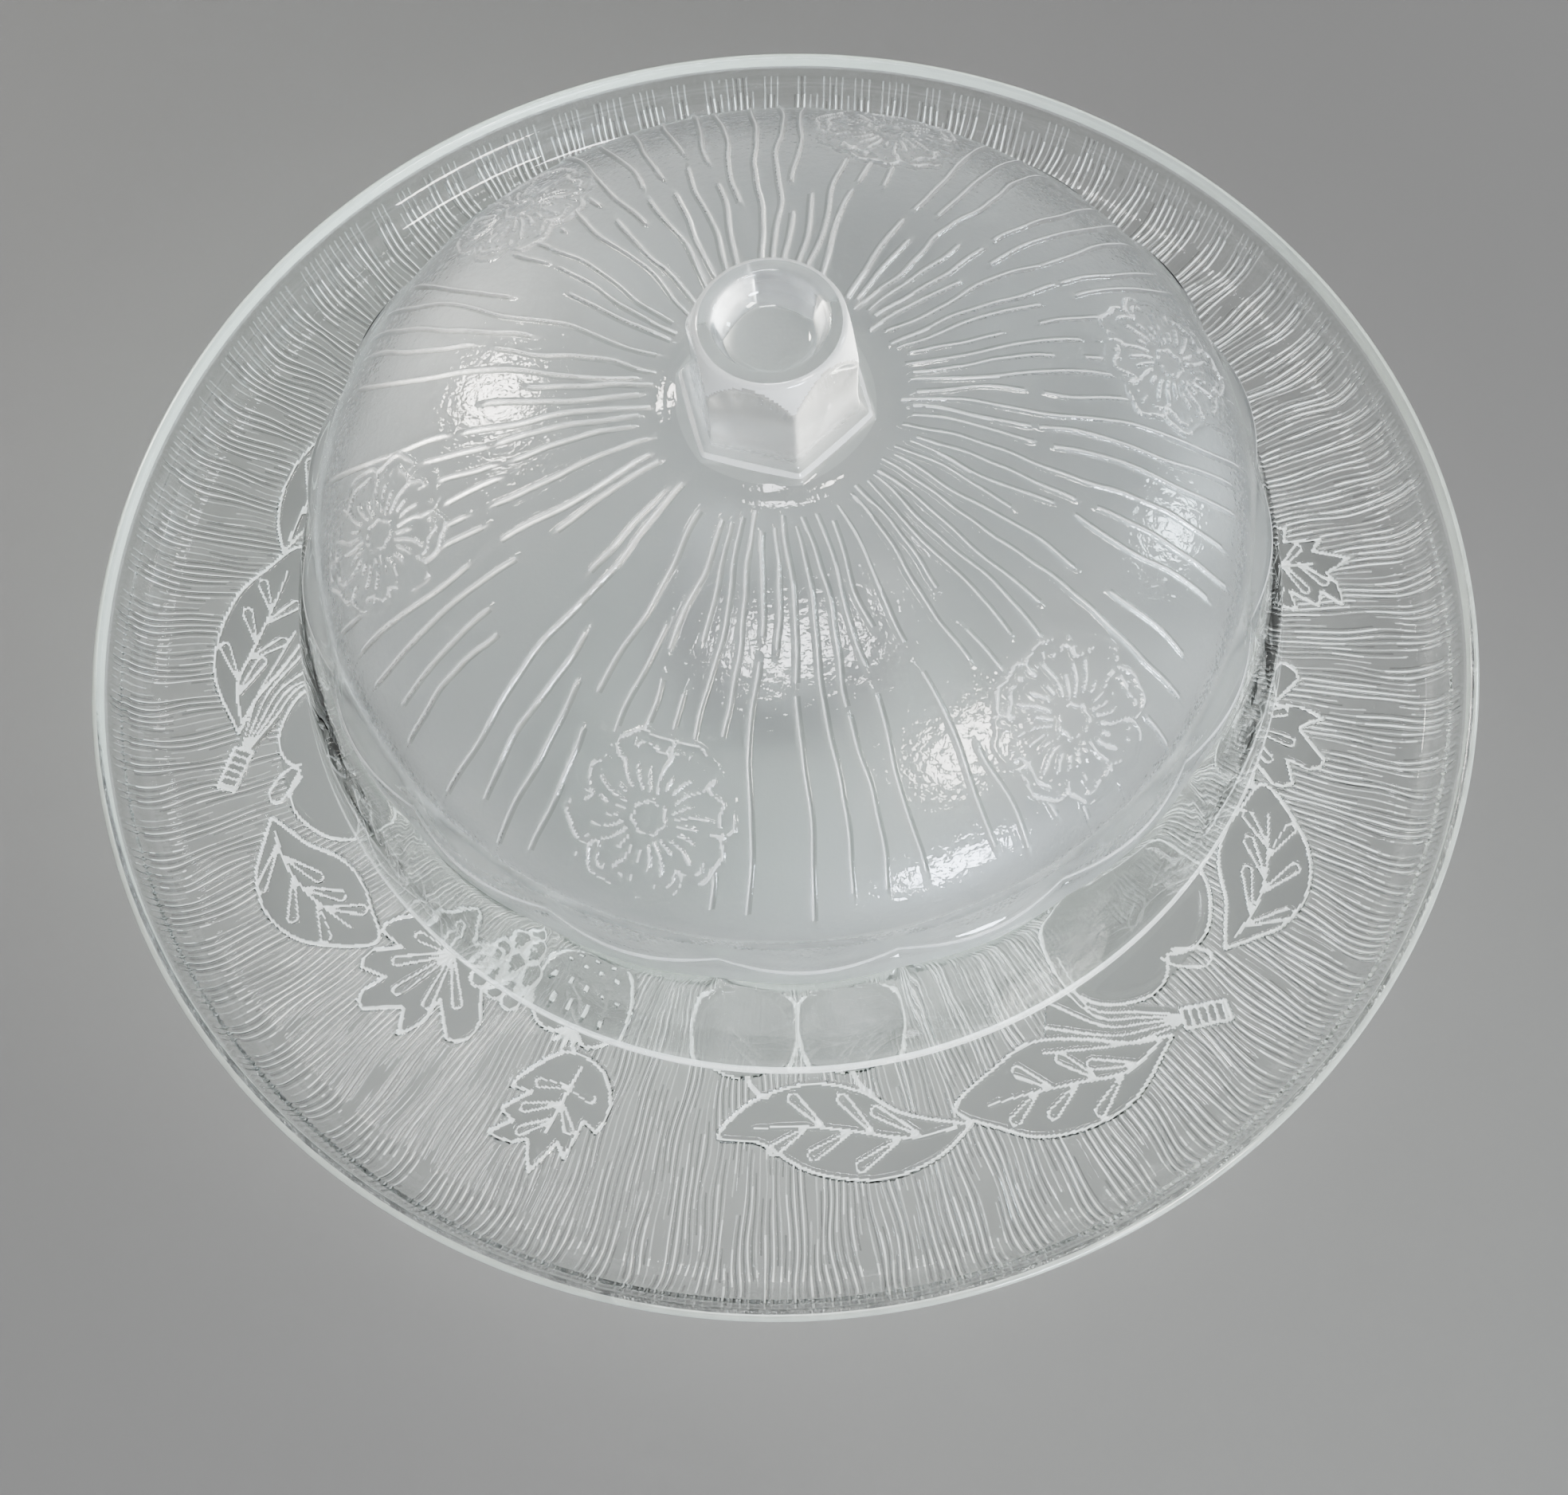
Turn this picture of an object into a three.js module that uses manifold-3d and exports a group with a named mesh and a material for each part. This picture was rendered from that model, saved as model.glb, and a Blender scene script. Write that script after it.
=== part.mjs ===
// Glass cake stand with a lift-off dome, in millimetres, +Z up.
// The origin is the centre of the foot, on the surface that the stand rests on.

import Module from "manifold-3d";
import * as THREE from "three";
import { mergeVertices } from "three/addons/utils/BufferGeometryUtils.js";

// Plate
const PLATE_RADIUS = 165;
const PLATE_TOP = 105; // top of the upturned lip
const LIP_HEIGHT = 15; // from the plate's floor to the top of the lip
const FLOOR_THICKNESS = 5;
const FLOOR_TOP = PLATE_TOP - LIP_HEIGHT;
const FLOOR_UNDERSIDE = FLOOR_TOP - FLOOR_THICKNESS;

// Foot
const FOOT_RADIUS = 72;
const FOOT_RING_WIDTH = 8; // flat ring that stands on the table
const COLLAR_RADIUS = 31; // where the foot meets the plate
const STEM_RADIUS = 19.5;
const GAP = 0.3; // left between touching pieces

// Dome
const DOME_X = 3; // the dome is a loose cover, and it stands a little off the plate's centre
const DOME_Y = 9.8;
const DOME_BOTTOM = FLOOR_TOP + GAP;
const DOME_RADIUS = 121.6; // outer radius at the bottom edge
const RIDGE_RADIUS = 106.4; // at the hollows between two scallops
const RIDGE_Z = FLOOR_TOP + 44;
const CROWN_Z = FLOOR_TOP + 87; // where the domed top would meet the axis
const WALL = 3.8;
const SCALLOPS = 18;
const SCALLOP_DEPTH = 2.6;
const SCALLOP_ANGLE = THREE.MathUtils.degToRad(18.5); // one hollow, from +X towards +Y
const SCALLOP_BAND = 7; // how far above and below the ridge the scallops fade out

// Knob
const KNOB_TOP = FLOOR_TOP + 114;
const KNOB_TOP_RADIUS = 14.6;
const KNOB_HEX_RADIUS = 17.5; // centre to corner
const KNOB_FLARE_RADIUS = 20.2;
const KNOB_NECK_Z = FLOOR_TOP + 87.5;
const KNOB_ANGLE = THREE.MathUtils.degToRad(10); // turns a corner from +Y towards -X
const CUP_RADIUS = 11.2;
const CUP_DEPTH = 6;

const ROUND_STEPS = 60;
const DOME_STEPS = 90; // a multiple of the number of scallops

const wasm = await Module();
wasm.setup();

const clearGlass = { color: 0xe6efec, roughness: 0.04, metalness: 0 };
const stippledGlass = { color: 0xdcdedd, roughness: 0.3, metalness: 0 };

// A solid of revolution about Z, from [radius, height] points.
function turned(points, steps) {
  const profile = points.map(([radius, height]) => new THREE.Vector2(radius, height));
  const geometry = new THREE.LatheGeometry(profile, steps);
  geometry.rotateX(Math.PI / 2);
  return joined(geometry);
}

// The same surface with shared corners, and without the flat triangles that lie on the axis.
function joined(geometry) {
  geometry.deleteAttribute("normal");
  geometry.deleteAttribute("uv");
  const merged = mergeVertices(geometry, 1e-4);
  const index = merged.index.array;
  const kept = [];
  for (let i = 0; i < index.length; i += 3) {
    const [a, b, c] = [index[i], index[i + 1], index[i + 2]];
    if (a !== b && b !== c && c !== a) {
      kept.push(a, b, c);
    }
  }
  merged.setIndex(kept);
  return merged;
}

function toSolid(geometry) {
  const mesh = new wasm.Mesh({
    numProp: 3,
    vertProperties: new Float32Array(geometry.attributes.position.array),
    triVerts: new Uint32Array(geometry.index.array),
  });
  return new wasm.Manifold(mesh);
}

function toGeometry(solid) {
  const mesh = solid.getMesh();
  const geometry = new THREE.BufferGeometry();
  geometry.setAttribute("position", new THREE.BufferAttribute(mesh.vertProperties, 3));
  geometry.setIndex(new THREE.BufferAttribute(mesh.triVerts, 1));
  return geometry;
}

function piece(name, geometry, look) {
  const shaded = geometry.toNonIndexed();
  shaded.computeVertexNormals();
  const mesh = new THREE.Mesh(shaded, new THREE.MeshStandardMaterial(look));
  mesh.name = name;
  return mesh;
}

// Points on a quarter or less of an ellipse, as [radius, height].
function arc(centre, radii, fromDegrees, toDegrees, count) {
  const points = [];
  for (let i = 0; i <= count; i += 1) {
    const angle = THREE.MathUtils.degToRad(fromDegrees + ((toDegrees - fromDegrees) * i) / count);
    points.push([
      centre[0] + radii[0] * Math.cos(angle),
      centre[1] + radii[1] * Math.sin(angle),
    ]);
  }
  return points;
}

// Flat-floored plate with a steep upturned lip.
function plate() {
  const lipFoot = PLATE_RADIUS - 5; // inner radius just above the fillet
  const rounding = 1.3;
  const profile = [
    [0, FLOOR_UNDERSIDE],
    [PLATE_RADIUS - 13, FLOOR_UNDERSIDE],
    ...arc([PLATE_RADIUS - 13, FLOOR_TOP + 6], [11, 11], -80, -15, 4),
    [PLATE_RADIUS - 0.5, PLATE_TOP - 5],
    ...arc([PLATE_RADIUS - rounding, PLATE_TOP - rounding], [rounding, rounding], 0, 180, 4),
    [lipFoot + 1.2, PLATE_TOP - 7],
    ...arc([lipFoot - 7, FLOOR_TOP + 7], [7, 7], -8, -90, 4),
    [0, FLOOR_TOP],
  ];
  return turned(profile, ROUND_STEPS);
}

// Bell-shaped foot with a stem, hollow from below.
function foot() {
  const top = FLOOR_UNDERSIDE - GAP;
  const ringInner = FOOT_RADIUS - FOOT_RING_WIDTH;
  const outside = new THREE.SplineCurve([
    new THREE.Vector2(COLLAR_RADIUS, top - 3),
    new THREE.Vector2(STEM_RADIUS + 3.5, top - 12),
    new THREE.Vector2(STEM_RADIUS, top - 25),
    new THREE.Vector2(STEM_RADIUS + 4, top - 44),
    new THREE.Vector2(FOOT_RADIUS * 0.53, 19),
    new THREE.Vector2(FOOT_RADIUS * 0.76, 8.5),
    new THREE.Vector2(FOOT_RADIUS - 1.5, 4.5),
  ]);
  const inside = new THREE.SplineCurve([
    new THREE.Vector2(ringInner - 2, 1.6),
    new THREE.Vector2(FOOT_RADIUS * 0.62, 7),
    new THREE.Vector2(FOOT_RADIUS * 0.42, 19),
    new THREE.Vector2(STEM_RADIUS - 2, 36),
    new THREE.Vector2(STEM_RADIUS - 5.5, 52),
    new THREE.Vector2(STEM_RADIUS - 8.5, 64),
  ]);
  const profile = [
    [0, top],
    [COLLAR_RADIUS - 1, top],
    ...outside.getPoints(10).map((point) => [point.x, point.y]),
    [FOOT_RADIUS, 2.5],
    [FOOT_RADIUS - 1, 0],
    [ringInner, 0],
    ...inside.getPoints(7).map((point) => [point.x, point.y]),
    [0, 68],
  ];
  return turned(profile.reverse(), ROUND_STEPS);
}

// Height of the domed top, as a part of the rise from the ridge to the crown.
function crownHeight(radius, edge) {
  return (1 - (radius / edge) ** 2.1) ** (1 / 1.7);
}

// Points along the domed top from the ridge inwards, set in from the outer surface by depth.
function crown(depth, innermost, count) {
  const edge = RIDGE_RADIUS - depth;
  const points = [];
  for (let i = 1; i <= count; i += 1) {
    const radius = innermost + (edge - innermost) * Math.cos((i / count) * (Math.PI / 2));
    points.push([radius, RIDGE_Z + (CROWN_Z - depth - RIDGE_Z) * crownHeight(radius, edge)]);
  }
  return points;
}

// How far the ridge stands out at an angle: round lobes between sharp hollows.
function scallop(angle) {
  return SCALLOP_DEPTH * Math.abs(Math.sin(((angle - SCALLOP_ANGLE) * SCALLOPS) / 2));
}

function pushScallops(geometry) {
  const position = geometry.attributes.position;
  for (let i = 0; i < position.count; i += 1) {
    const [x, y, z] = [position.getX(i), position.getY(i), position.getZ(i)];
    const radius = Math.hypot(x, y);
    const fade = Math.max(0, 1 - Math.abs(z - RIDGE_Z) / SCALLOP_BAND);
    if (fade > 0 && radius > RIDGE_RADIUS - 10) {
      const factor = 1 + (fade * scallop(Math.atan2(y, x))) / radius;
      position.setXY(i, x * factor, y * factor);
    }
  }
  return geometry;
}

// Flared skirt, scalloped ridge and domed top, with a cone under the knob.
function domeShell() {
  const profile = [
    [0, CROWN_Z - WALL],
    ...crown(WALL, 0, 9).reverse().slice(1),
    [RIDGE_RADIUS - WALL, RIDGE_Z],
    [RIDGE_RADIUS + 2 - WALL, RIDGE_Z - 5],
    [RIDGE_RADIUS + 6.6 - WALL, RIDGE_Z - 14],
    [DOME_RADIUS - 4.1 - WALL, DOME_BOTTOM + 18],
    [DOME_RADIUS - 1.1 - WALL, DOME_BOTTOM + 6],
    [DOME_RADIUS - WALL, DOME_BOTTOM + 1],
    [DOME_RADIUS - WALL + 1, DOME_BOTTOM],
    [DOME_RADIUS - 1, DOME_BOTTOM],
    [DOME_RADIUS, DOME_BOTTOM + 1],
    [DOME_RADIUS - 1.1, DOME_BOTTOM + 6],
    [DOME_RADIUS - 4.1, DOME_BOTTOM + 18],
    [RIDGE_RADIUS + 7.2, RIDGE_Z - 14],
    [RIDGE_RADIUS + 2.4, RIDGE_Z - 4],
    [RIDGE_RADIUS + 0.8, RIDGE_Z],
    ...crown(0, 28, 9),
    [23, KNOB_NECK_Z - 0.6],
    [KNOB_FLARE_RADIUS, KNOB_NECK_Z + 1.5],
    [0, KNOB_NECK_Z + 2],
  ];
  return toSolid(pushScallops(turned(profile, DOME_STEPS)));
}

function hexBar(topRadius, bottomRadius, bottom, top) {
  const bar = new THREE.CylinderGeometry(topRadius, bottomRadius, top - bottom, 6);
  bar.rotateX(Math.PI / 2);
  bar.rotateZ(KNOB_ANGLE);
  bar.translate(0, 0, (bottom + top) / 2);
  return toSolid(joined(bar));
}

// Six-sided knob, chamfered to a round top with a shallow round cup in it.
function knob() {
  const flareTop = KNOB_NECK_Z + 5;
  const chamfer = toSolid(
    turned(
      [
        [0, KNOB_NECK_Z - 3],
        [KNOB_FLARE_RADIUS + 3, KNOB_NECK_Z - 3],
        [KNOB_FLARE_RADIUS + 3, flareTop],
        [KNOB_HEX_RADIUS + 0.4, KNOB_TOP - 8],
        [KNOB_TOP_RADIUS + 0.9, KNOB_TOP - 2],
        [KNOB_TOP_RADIUS, KNOB_TOP - 0.5],
        [KNOB_TOP_RADIUS - 0.8, KNOB_TOP],
        [0, KNOB_TOP],
      ],
      ROUND_STEPS,
    ),
  );
  const cup = toSolid(
    turned(
      [
        [0, KNOB_TOP - CUP_DEPTH],
        [CUP_RADIUS - 5.6, KNOB_TOP - CUP_DEPTH],
        [CUP_RADIUS - 2.4, KNOB_TOP - CUP_DEPTH + 1.6],
        [CUP_RADIUS - 0.6, KNOB_TOP - 2],
        [CUP_RADIUS + 0.4, KNOB_TOP + 1],
        [0, KNOB_TOP + 1],
      ],
      ROUND_STEPS,
    ),
  );
  const straight = hexBar(KNOB_HEX_RADIUS, KNOB_HEX_RADIUS, KNOB_NECK_Z - 2, KNOB_TOP);
  const flare = hexBar(KNOB_HEX_RADIUS - 0.2, KNOB_FLARE_RADIUS, KNOB_NECK_Z, flareTop);
  return straight.add(flare).intersect(chamfer).subtract(cup);
}

const stand = new THREE.Group();
stand.add(piece("pedestal", foot(), clearGlass));
stand.add(piece("cake_plate", plate(), clearGlass));

const dome = piece("dome", toGeometry(domeShell().add(knob())), stippledGlass);
dome.position.set(DOME_X, DOME_Y, 0);

const cakeStand = new THREE.Group();
cakeStand.add(stand);
cakeStand.add(dome);

export default cakeStand;
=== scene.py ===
"""Visual model of a glass cake stand with a lift-off dome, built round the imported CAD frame.

Shapes are worked out in millimetres, in the frame's own axes, and turned into metres as each mesh is made.
Every piece is one closed skin of rings round an axis, which carries the moulded relief as real geometry.
A piece's faces have one of several glasses, which are numbered by their place in its list of materials.
"""

import math

import bpy
import numpy as np
from mathutils import Matrix, Vector


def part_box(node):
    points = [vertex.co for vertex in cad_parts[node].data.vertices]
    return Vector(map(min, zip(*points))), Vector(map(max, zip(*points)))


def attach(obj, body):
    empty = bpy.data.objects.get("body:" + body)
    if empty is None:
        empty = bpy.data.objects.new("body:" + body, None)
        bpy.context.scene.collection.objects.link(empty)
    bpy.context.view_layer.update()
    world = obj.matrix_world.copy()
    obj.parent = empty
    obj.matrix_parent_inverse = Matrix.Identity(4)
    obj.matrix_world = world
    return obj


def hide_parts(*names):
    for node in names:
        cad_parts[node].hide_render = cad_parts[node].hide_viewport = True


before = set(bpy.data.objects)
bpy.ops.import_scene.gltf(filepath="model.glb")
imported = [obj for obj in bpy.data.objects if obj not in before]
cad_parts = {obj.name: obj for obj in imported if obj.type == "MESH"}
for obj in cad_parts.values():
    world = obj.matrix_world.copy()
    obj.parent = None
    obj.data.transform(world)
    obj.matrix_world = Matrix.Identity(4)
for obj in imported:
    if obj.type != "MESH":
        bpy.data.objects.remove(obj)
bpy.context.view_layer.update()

MM = 0.001
TURN = 2 * math.pi


def box_mm(node):
    """Lowest and highest corner of a CAD node, in millimetres."""
    low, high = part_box(node)
    return np.array(low) / MM, np.array(high) / MM


# Sizes, from the frame and from the same driving dimensions as the CAD.
PLATE_LOW, PLATE_HIGH = box_mm("cake_plate")
DOME_LOW, DOME_HIGH = box_mm("dome")
FOOT_RADIUS = box_mm("pedestal")[1][0]

PLATE_RADIUS = PLATE_HIGH[0]
PLATE_TOP = PLATE_HIGH[2]
UNDERSIDE = PLATE_LOW[2]
FLOOR = PLATE_TOP - 15  # top of the plate's flat floor
BEND_RADIUS = 155.6  # where the plate's underside turns up into the lip

DOME_CENTRE = (DOME_LOW[:2] + DOME_HIGH[:2]) / 2
DOME_RADIUS = (DOME_HIGH[0] - DOME_LOW[0]) / 2
DOME_BOTTOM = DOME_LOW[2]
KNOB_TOP = DOME_HIGH[2]
RIDGE_RADIUS = DOME_RADIUS - 15.2
RIDGE_Z = FLOOR + 44
CROWN_Z = FLOOR + 87  # where the domed top would meet the axis
WALL = 3.8
SCALLOPS = 18
SCALLOP_DEPTH = 2.6
SCALLOP_ANGLE = math.radians(18.5)  # one hollow between two scallops
SCALLOP_BAND = 7  # how far above and below the ridge the scallops fade out
CREASE_DEPTH = 0.06

KNOB_CORNER = math.radians(40)
KNOB_HEX_RADIUS = 17.5
NECK_RADIUS = 25.5  # where the knob's foot runs into the domed top

RIBS = 84
FLOWERS = 6
FLOWER_ANGLE = math.radians(8.5)
FLOWER_RADIUS = 86.7  # of the circle that their centres lie on
FLOWER_SIZE = 17.5
PEEL_HEIGHT = 0.006  # of the random unevenness of the domed top

GROOVES = 560
GROOVES_INNER = 84
GROOVE_DEPTH = 0.45  # half the way from a groove's top to its bottom
WREATH_REPEATS = 3

# The glasses of the dome and of the plate, by their place in each list of materials. Some of them paint light
# or shade onto the faces that get them.
DOME_CLEAR, DOME_STIPPLED, DOME_HAZY, DOME_HIGHLIGHT, DOME_PAINTED_SHADE = range(5)
PLATE_CLEAR, PLATE_FAINT_SHEEN, PLATE_HIGHLIGHT, PLATE_LIP_TINT_AND_SHEEN, PLATE_BRIGHT_SHEEN, PLATE_PAINTED_SHADE, PLATE_PAINTED_SHADE_PATCH = range(7)


# ---------------------------------------------------------------- meshes


def smooth(points, steps):
    """Points along a Catmull-Rom curve through the given points."""
    p = np.array(points, float)
    p = np.vstack([2 * p[0] - p[1], p, 2 * p[-1] - p[-2]])
    t = np.linspace(0, 1, steps, endpoint=False)[:, None]
    spans = []
    for a, b, c, d in zip(p, p[1:], p[2:], p[3:]):
        once, twice, thrice = (c - a) / 2, a - 2.5 * b + 2 * c - d / 2, 1.5 * (b - c) + (d - a) / 2
        spans.append(b + t * once + t**2 * twice + t**3 * thrice)
    return np.vstack([*spans, p[-2:-1]])


def arc(centre, radius, start, end, steps):
    """Points of a circle's arc, from one angle to another, in degrees."""
    angles = np.radians(np.linspace(start, end, steps))
    return np.stack([centre[0] + radius * np.cos(angles), centre[1] + radius * np.sin(angles)], 1)


def full_turn(columns):
    """Angles of evenly spaced columns."""
    return np.arange(columns) * TURN / columns


def fade(value, low, high):
    """0 below low, 1 above high and smooth between them."""
    t = np.clip((value - low) / (high - low), 0, 1)
    return t * t * (3 - 2 * t)


def span(value, start, end, rise, fall):
    """1 between start and end, with a fade just inside each of them."""
    return fade(value, start, start + rise) * fade(-value, -end, fall - end)


def from_nearest(angles, step):
    """How far angles are past the nearest multiple of a step, which may be below 0."""
    return (angles + step / 2) % step - step / 2


def unit(degrees):
    """Unit vector at an angle."""
    angle = math.radians(degrees)
    return np.array([math.cos(angle), math.sin(angle)])


def bead(distance, half_width):
    """A rounded ridge's cross-section: 1 on its line, 0 from half_width on."""
    return np.clip(1 - (distance / half_width) ** 2, 0, 1) ** 1.3


class Skin:
    """A closed mesh made of rings of points round an axis, joined one after another."""

    def __init__(self, centre=(0, 0)):
        self.centre = centre
        self.points, self.faces, self.looks = [], [], []
        self.count = 0
        self.last = None

    def band(self, angles, radii, heights, look=0):
        """Adds rings. The arguments broadcast to rings by columns, and look is the faces' material."""
        angles, radii, heights = np.broadcast_arrays(*(np.atleast_2d(v) for v in (angles, radii, heights)))
        rows, columns = angles.shape
        looks = np.broadcast_to(look, (max(rows - 1, 1), columns))
        x = self.centre[0] + radii * np.cos(angles)
        y = self.centre[1] + radii * np.sin(angles)
        self.points.append(np.stack([x, y, heights], -1).reshape(-1, 3))
        start = self.count
        self.count += rows * columns
        if self.last:
            self.add_faces(zipped(*self.last, start, angles[0]), looks[0, 0])
        grid = start + np.arange(rows * columns).reshape(rows, columns)
        a, b = grid[:-1], grid[1:]
        a_next, b_next = np.roll(a, -1, 1), np.roll(b, -1, 1)
        if rows > 1:
            self.add_faces(np.stack([a, b, b_next], -1).reshape(-1, 3), looks.ravel())
            self.add_faces(np.stack([a, b_next, a_next], -1).reshape(-1, 3), looks.ravel())
        self.last = (start + (rows - 1) * columns, angles[-1])

    def turned(self, profile, columns, look=0):
        """Adds the rings of a plain turned profile of [radius, height] points."""
        profile = np.array(profile, float)
        self.band(full_turn(columns), profile[:, :1], profile[:, 1:], look)

    def pole(self, height, look=0):
        """Adds one point on the axis."""
        self.band([[0.0]], [[0.0]], [[height]], look)

    def add_faces(self, faces, looks):
        a, b, c = faces.T
        whole = (a != b) & (b != c) & (c != a)
        self.faces.append(faces[whole])
        self.looks.append(np.broadcast_to(looks, len(faces))[whole].astype(np.int32))

    def piece(self, name, body, nodes, materials):
        """Turns the skin into a Blender object that rides on a CAD body and stands for its nodes."""
        points = np.concatenate(self.points) * MM
        faces = np.concatenate(self.faces).astype(np.int32)
        mesh = bpy.data.meshes.new(name)
        mesh.vertices.add(len(points))
        mesh.vertices.foreach_set("co", points.astype(np.float32).ravel())
        mesh.loops.add(faces.size)
        mesh.loops.foreach_set("vertex_index", faces.ravel())
        mesh.polygons.add(len(faces))
        mesh.polygons.foreach_set("loop_start", np.arange(0, faces.size, 3, dtype=np.int32))
        mesh.polygons.foreach_set("material_index", np.concatenate(self.looks))
        mesh.polygons.foreach_set("use_smooth", np.ones(len(faces), bool))
        mesh.update(calc_edges=True)
        mesh.validate()
        for material in materials:
            mesh.materials.append(material)
        made = bpy.data.objects.new(name, mesh)
        bpy.context.scene.collection.objects.link(made)
        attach(made, body)
        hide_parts(*nodes)


def faces_where(marks):
    """Which faces of a grid of rings have more than half of their corners marked."""
    shares = marks.astype(float)
    shares = shares + np.roll(shares, -1, 1)
    return shares[:-1] + shares[1:] > 2.1


def zipped(a_start, a_angles, b_start, b_angles):
    """Triangles that join two rings of any numbers of points, in the order of their angles."""

    def middles(angles):
        return (angles + np.append(angles[1:], angles[0] + TURN)) / 2

    a_count, b_count = len(a_angles), len(b_angles)
    step_on_a = np.concatenate([np.ones(a_count, int), np.zeros(b_count, int)])
    step_on_a = step_on_a[np.argsort(np.concatenate([middles(a_angles), middles(b_angles)]), kind="stable")]
    a = np.cumsum(step_on_a) - step_on_a
    b = np.cumsum(1 - step_on_a) - (1 - step_on_a)
    third = np.where(step_on_a == 1, a_start + (a + 1) % a_count, b_start + (b + 1) % b_count)
    return np.stack([a_start + a % a_count, b_start + b % b_count, third], -1)


def outward(profile):
    """Unit normals along a profile, on the side that the rings' faces point to."""
    along = np.gradient(profile, axis=0)
    normal = np.stack([-along[:, 1], along[:, 0]], 1)
    return normal / np.linalg.norm(normal, axis=1, keepdims=True)


def respaced(profile, spacing):
    """The same profile with points a chosen distance apart, given as a function of the radius."""
    lengths = np.append(0, np.cumsum(np.linalg.norm(np.diff(profile, axis=0), axis=1)))
    steps = np.append(0, np.cumsum(np.diff(lengths) / spacing(profile[1:, 0])))
    wanted = np.linspace(0, steps[-1], int(round(steps[-1])) + 1)
    return np.stack([np.interp(wanted, steps, profile[:, 0]), np.interp(wanted, steps, profile[:, 1])], 1)


# ---------------------------------------------------------------- the dome


def crown(depth, radii):
    """Height of the domed top at each radius, set in from the outer surface by depth."""
    edge = RIDGE_RADIUS - depth
    rise = np.clip(1 - (radii / edge) ** 2.1, 0, 1) ** (1 / 1.7)
    return RIDGE_Z + (CROWN_Z - depth - RIDGE_Z) * rise


def scallop(angles):
    """How far the ridge stands out: round lobes between sharp hollows."""
    return SCALLOP_DEPTH * np.abs(np.sin((angles - SCALLOP_ANGLE) * SCALLOPS / 2))


def scalloped(angles, radii, heights):
    """Radii with the scallops added, and a fine crease down the skirt from each hollow."""
    near = fade(1 - np.abs(heights - RIDGE_Z) / SCALLOP_BAND, 0, 1)
    to_hollow = np.abs(from_nearest(angles - SCALLOP_ANGLE, TURN / SCALLOPS)) * radii
    crease = CREASE_DEPTH * bead(to_hollow, 2.2) * fade(heights, FLOOR + 7, FLOOR + 22)
    return radii + near * scallop(angles) - crease * fade(-heights, -RIDGE_Z, 4 - RIDGE_Z)


class Ribs:
    """Wavy raised ribs that run out over the domed top, broken here and there."""

    NEAR = np.array([0, 0.22, 0.45, 0.72, 1.05])  # how far from a rib's line its columns lie
    CREST = 0.38  # relief above this height gets a painted highlight
    FLOWER_REACH = math.radians(14)  # gaps between ribs that are this near a flower get the finer mesh

    def __init__(self, seed):
        random = np.random.default_rng(seed)
        self.base = (np.arange(RIBS) + random.uniform(-0.16, 0.16, RIBS)) * TURN / RIBS
        self.sway = random.uniform(0.35, 0.8, RIBS)
        self.sway_length = random.uniform(28, 44, RIBS)
        self.sway_phase = np.cumsum(random.uniform(-1.1, 1.1, RIBS))
        self.ripple = random.uniform(0.03, 0.14, RIBS)
        self.ripple_length = random.uniform(9, 15, RIBS)
        self.ripple_phase = random.uniform(0, TURN, RIBS)
        self.inner_start = random.uniform(23, 28, RIBS)
        self.inner_end = random.uniform(52, 74, RIBS)
        self.has_inner = random.random(RIBS) < 0.8
        self.has_outer = random.random(RIBS) < 0.88
        self.outer_start = self.inner_end + random.uniform(-8, 5, RIBS)
        self.outer_end = random.uniform(98, 105, RIBS)
        self.width = random.uniform(0.58, 0.76, RIBS)
        self.height = random.uniform(0.48, 0.66, RIBS)

    def lines(self, radii):
        """Angle of each rib's line at each radius, with the first one repeated a turn later."""
        r = radii[:, None]
        sideways = self.sway * np.sin(TURN * r / self.sway_length + self.sway_phase)
        sideways = sideways + self.ripple * np.sin(TURN * r / self.ripple_length + self.ripple_phase)
        angles = self.base + sideways / r
        return np.concatenate([angles, angles[:, :1] + TURN], 1)

    def strength(self, radii):
        """How tall each rib stands at each radius, with tapered ends."""
        r = radii[:, None]
        inner = span(r, self.inner_start, self.inner_end, 3, 4)
        outer = span(r, self.outer_start, self.outer_end, 4, 5)
        tall = np.maximum(inner * self.has_inner, outer * self.has_outer)
        return np.concatenate([tall, tall[:, :1]], 1)

    def columns(self, radii, flower_middles, plain_middles):
        """Angles of the mesh's columns, which follow the ribs, and the ribs' relief on them.

        The last two grids mark the ribs' crests, which get a painted highlight, and the side beside each rib,
        which gets a painted shade.
        """
        lines, strength = self.lines(radii), self.strength(radii)
        angles, relief, highlit_crests, shaded_flanks = [], [], [], []
        for i in range(RIBS):
            start = lines[:, i : i + 1]
            gap = (lines[:, i + 1 : i + 2] - start) * radii[:, None]
            near = self.NEAR * np.minimum(1, 0.4 * gap / self.NEAR[-1])
            off_flower = abs(from_nearest(self.base[i] + TURN / RIBS / 2 - FLOWER_ANGLE, TURN / FLOWERS))
            middles = flower_middles if off_flower < self.FLOWER_REACH else plain_middles
            share = (np.arange(middles) + 1) / (middles + 1)
            between = near[:, -1:] + (gap - 2 * near[:, -1:]) * share
            offsets = np.concatenate([near, between, gap - near[:, :0:-1]], 1)
            j = (i + 1) % RIBS
            left = self.height[i] * strength[:, i : i + 1] * bead(offsets, self.width[i])
            right = self.height[j] * strength[:, i + 1 : i + 2] * bead(gap - offsets, self.width[j])
            angles.append(start + offsets / radii[:, None])
            relief.append(np.maximum(left, right))
            highlit_crests.append((left > self.CREST) | (right > self.CREST))
            # The side beside a tall rib gets a painted shade.
            beside = (offsets > near[:, 1:2] * 1.5) & (offsets <= near[:, -1:] + 0.01)
            shaded_flanks.append(beside & (self.height[i] * strength[:, i : i + 1] > self.CREST))
        return tuple(np.concatenate(part, 1) for part in (angles, relief, highlit_crests, shaded_flanks))


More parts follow.
